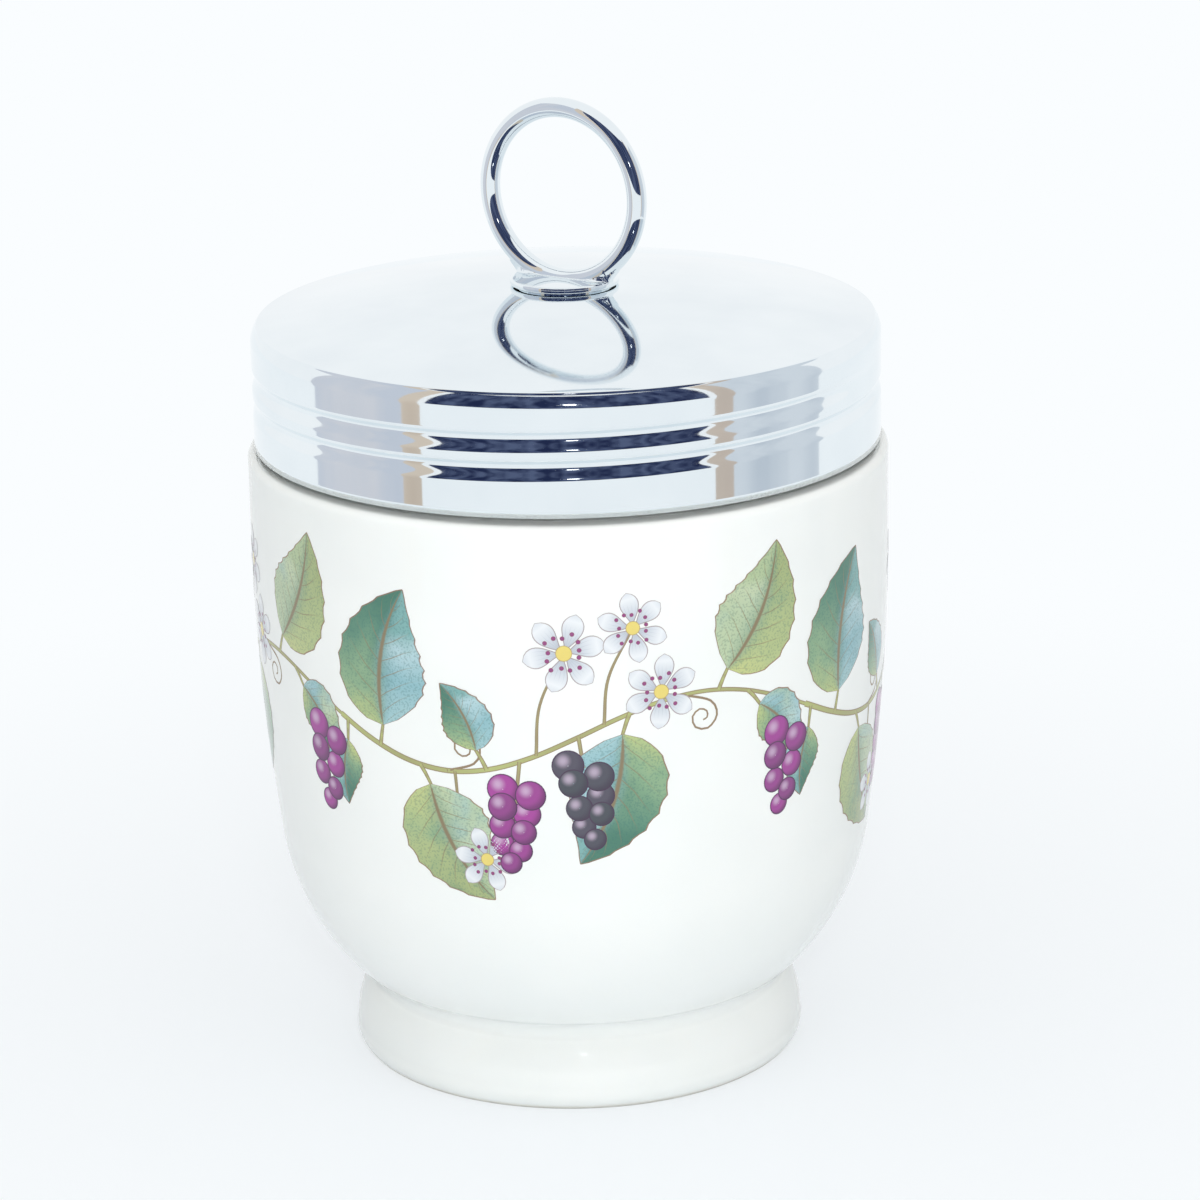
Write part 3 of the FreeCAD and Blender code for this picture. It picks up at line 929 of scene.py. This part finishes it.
def berry_print():
    """Currants, from magenta-purple to charcoal by tone, each shaded round with a pale highlight."""
    material, tree, bsdf, place, margin, tone = print_material("currant_transfer")
    purple = ramp(tree, tone, [(0.0, "#a8479c"), (0.3, "#8c4586"), (0.55, "#5c5566"), (0.95, "#4b5058")])
    purple = purple.outputs[0]
    pale = blend(tree, 0.62, purple, "#d9c6dc")
    dark = blend(tree, 0.55, purple, "#3a2c44")
    dx = calc(tree, "ADD", place["X"], 0.3)
    dy = calc(tree, "SUBTRACT", place["Y"], 0.32)
    squares = calc(tree, "MULTIPLY", dx, dx), calc(tree, "MULTIPLY", dy, dy)
    away = calc(tree, "SQRT", calc(tree, "ADD", *squares))
    lit = blend(tree, steps(tree, away, 0.6, 0.05), purple, pale)
    rounded = blend(tree, steps(tree, away, 0.75, 1.35), lit, dark)
    lined = blend(tree, calc(tree, "MULTIPLY", steps(tree, margin, 0.2, 0.08), 0.85), rounded, "#4a3550")
    tree.links.new(lined, bsdf.inputs["Base Color"])
    return material


def petal_print():
    """Pale grey-white petals, shaded cool grey from the foot, with fine lines and a mauve-brown outline."""
    material, tree, bsdf, place, margin, _ = print_material("petal_transfer")
    greys = [(0.0, "#b4bbc8"), (0.45, "#d3d9e0"), (0.8, "#eceff2"), (1.0, "#dbe0e6")]
    body = ramp(tree, place["X"], greys).outputs[0]
    line = calc(tree, "FRACT", calc(tree, "MULTIPLY", place["Y"], 2.5))
    across = calc(tree, "ABSOLUTE", calc(tree, "SUBTRACT", line, 0.5))
    line_share = calc(tree, "MULTIPLY", steps(tree, across, 0.1, 0.0), steps(tree, place["X"], 0.75, 0.35))
    ribbed = blend(tree, calc(tree, "MULTIPLY", line_share, 0.5), body, "#98a0b0")
    lined = blend(tree, calc(tree, "MULTIPLY", steps(tree, margin, 0.17, 0.06), 0.8), ribbed, "#9a8588")
    tree.links.new(lined, bsdf.inputs["Base Color"])
    return material


def heart_print():
    """Yellow flower centres, and mauve stamen tips where the tone is 1."""
    material, tree, bsdf, _, margin, tone = print_material("flower_heart_transfer")
    body = blend(tree, tone, "#e8d577", "#95487f")
    lined = blend(tree, calc(tree, "MULTIPLY", steps(tree, margin, 0.12, 0.03), 0.6), body, "#8a5a5c")
    tree.links.new(lined, bsdf.inputs["Base Color"])
    return material


# Stage, light and camera.


def emission(name, code, second, strength=1.0):
    """A glowing material for the studio's cards, mottled upright between two colours."""
    material = bpy.data.materials.new(name)
    material.use_nodes = True
    tree = material.node_tree
    tree.nodes.clear()
    place = add(tree, "ShaderNodeMapping", {0: add(tree, "ShaderNodeTexCoord").outputs["Object"]})
    place.inputs["Scale"].default_value = (14.0, 14.0, 2.5)
    cloud = add(tree, "ShaderNodeTexNoise", {"Vector": place, "Scale": 1.0, "Detail": 3.0})
    mottled = ramp(tree, cloud.outputs["Fac"], [(0.38, code), (0.62, second)])
    glow = add(tree, "ShaderNodeEmission", {"Color": mottled.outputs[0], "Strength": strength})
    add(tree, "ShaderNodeOutputMaterial", {0: glow})
    return material


def studio_card(name, span, radius, heights, code, second, strength=1.0):
    """A curved card round the object that only reflections see. span is its azimuths in degrees."""
    count = 24
    verts, faces = [], []
    for k in range(count + 1):
        a = math.radians(span[0] + (span[1] - span[0]) * k / count)
        for z in heights:
            verts.append((radius * math.cos(a), radius * math.sin(a), z))
    for k in range(count):
        faces.append((2 * k, 2 * k + 1, 2 * k + 3, 2 * k + 2))
    card = mesh_object(name, verts, faces)
    card.data.materials.append(emission(name + "_glow", code, second, strength))
    card.visible_camera = False
    card.visible_diffuse = False
    card.visible_shadow = False
    card.visible_transmission = False
    return card


def build_stage():
    """A pale table, a bright tent and the cards that a polished lid mirrors."""
    table, tree, bsdf = new_material("pale_table", Roughness=0.55)
    bsdf.inputs["Base Color"].default_value = colour("#eef3f7")
    path = add(tree, "ShaderNodeLightPath").outputs
    seen = calc(tree, "MAXIMUM", path["Is Camera Ray"], path["Is Glossy Ray"])
    place = add(tree, "ShaderNodeTexCoord").outputs["Object"]
    away = add(tree, "ShaderNodeVectorMath", {0: place}, operation="LENGTH")
    far = calc(tree, "ADD", calc(tree, "MULTIPLY", steps(tree, away.outputs["Value"], 0.03, 0.2), 0.38), 0.62)
    white = add(tree, "ShaderNodeEmission", {"Color": colour("#fafdff"), "Strength": 1.0})
    both = add(tree, "ShaderNodeMixShader", {0: calc(tree, "MULTIPLY", seen, far), 1: bsdf, 2: white})
    tree.links.new(both.outputs[0], tree.nodes["Material Output"].inputs[0])
    floor = mesh_object("table", [(-3, -3, 0), (3, -3, 0), (3, 3, 0), (-3, 3, 0)], [(0, 1, 2, 3)])
    floor.data.materials.append(table)
    front = 270
    studio_card("dark_card", (front - 50, front + 50), 0.75, (0.05, 0.95), "#232c4c", "#56617f")
    studio_card("left_wood_card", (front - 57, front - 50), 0.24, (0.002, 0.4), "#dccdbd", "#c9b8a8")
    studio_card("right_wood_card", (front + 50, front + 57), 0.24, (0.002, 0.4), "#dccdbd", "#cbbcb0")
    studio_card("left_grey_card", (front - 96, front - 57), 0.24, (0.002, 0.3), "#cdd2dd", "#dcdbe0")
    studio_card("right_grey_card", (front + 57, front + 96), 0.24, (0.002, 0.3), "#c6ced8", "#d9dfe6")
    studio_card("flash_card", (front - 1.0, front + 3.0), 0.6, (0.265, 0.305), "#ffffff", "#ffffff", 5.0)

    world = bpy.data.worlds.new("tent")
    bpy.context.scene.world = world
    world.use_nodes = True
    tree = world.node_tree
    tree.nodes.clear()
    path = add(tree, "ShaderNodeLightPath").outputs
    seen = calc(tree, "MAXIMUM", path["Is Camera Ray"], path["Is Glossy Ray"])
    light = add(tree, "ShaderNodeBackground", {"Color": colour("#fbfbfa"), "Strength": 0.56})
    shown = add(tree, "ShaderNodeBackground", {"Color": colour("#fdfeff"), "Strength": 1.0})
    both = add(tree, "ShaderNodeMixShader", {0: seen, 1: light, 2: shown})
    add(tree, "ShaderNodeOutputWorld", {0: both})

    def lamp(name, place, target, width, height, power):
        data = bpy.data.lights.new(name, "AREA")
        data.shape = "RECTANGLE"
        data.size, data.size_y, data.energy = width, height, power
        made = bpy.data.objects.new(name, data)
        bpy.context.scene.collection.objects.link(made)
        made.location = place
        made.rotation_euler = (Vector(target) - Vector(place)).to_track_quat("-Z", "Y").to_euler()
        made.visible_glossy = False
        return made

    lamp("top_softbox", (0.0, -0.15, 0.95), (0, 0, 0.05), 0.9, 0.9, 3.2)
    lamp("flash_head", (0.02, -0.62, 0.32), (0, 0, 0.05), 0.12, 0.09, 1.5)


def build_camera():
    """The photograph's camera: a long lens, half a metre away and above the lid."""
    distance, height = 0.532, 0.2204
    pitch, yaw, roll = (math.radians(a) for a in (17.19, 0.38, -1.08))
    focal_pixels, frame_pixels, sensor = 4532, 1200, 36
    forward = Vector((math.sin(yaw) * math.cos(pitch), math.cos(yaw) * math.cos(pitch), -math.sin(pitch)))
    level = Vector((math.cos(yaw), -math.sin(yaw), 0))
    upright = level.cross(forward)
    right = level * math.cos(roll) + upright * math.sin(roll)
    above = upright * math.cos(roll) - level * math.sin(roll)
    data = bpy.data.cameras.new("camera")
    data.sensor_width = sensor
    data.lens = focal_pixels / frame_pixels * sensor
    camera = bpy.data.objects.new("camera", data)
    bpy.context.scene.collection.objects.link(camera)
    turn = Matrix((right, above, -forward)).transposed().to_4x4()
    camera.matrix_world = Matrix.Translation((0, -distance, height)) @ turn
    bpy.context.scene.camera = camera


bpy.context.scene.view_settings.view_transform = "Standard"

glaze = glazed_porcelain()
lid_chrome = chrome_plate("polished_chrome_lid", 0.035)
handle_chrome = chrome_plate("polished_chrome_wire", 0.03)
screw_thread = screw_thread_group()

cup = porcelain_cup(glaze, screw_thread)
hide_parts("porcelain_cup")
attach(cup, "cup")

lid = lid_shell(lid_chrome, screw_thread)
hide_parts("lid_shell")
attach(lid, "lid")

ring = handle_ring(handle_chrome)
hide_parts("handle_ring")
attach(ring, "lid")

foot = handle_foot(handle_chrome)
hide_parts("handle_foot", "ring_braze")
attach(foot, "lid")

for piece in garland(repeat_group(), leaf_print(), stem_print(), berry_print(), petal_print(), heart_print()):
    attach(piece, "cup")

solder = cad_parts["foot_solder"]
solder.data.materials.clear()
solder.data.materials.append(handle_chrome)

build_stage()
build_camera()
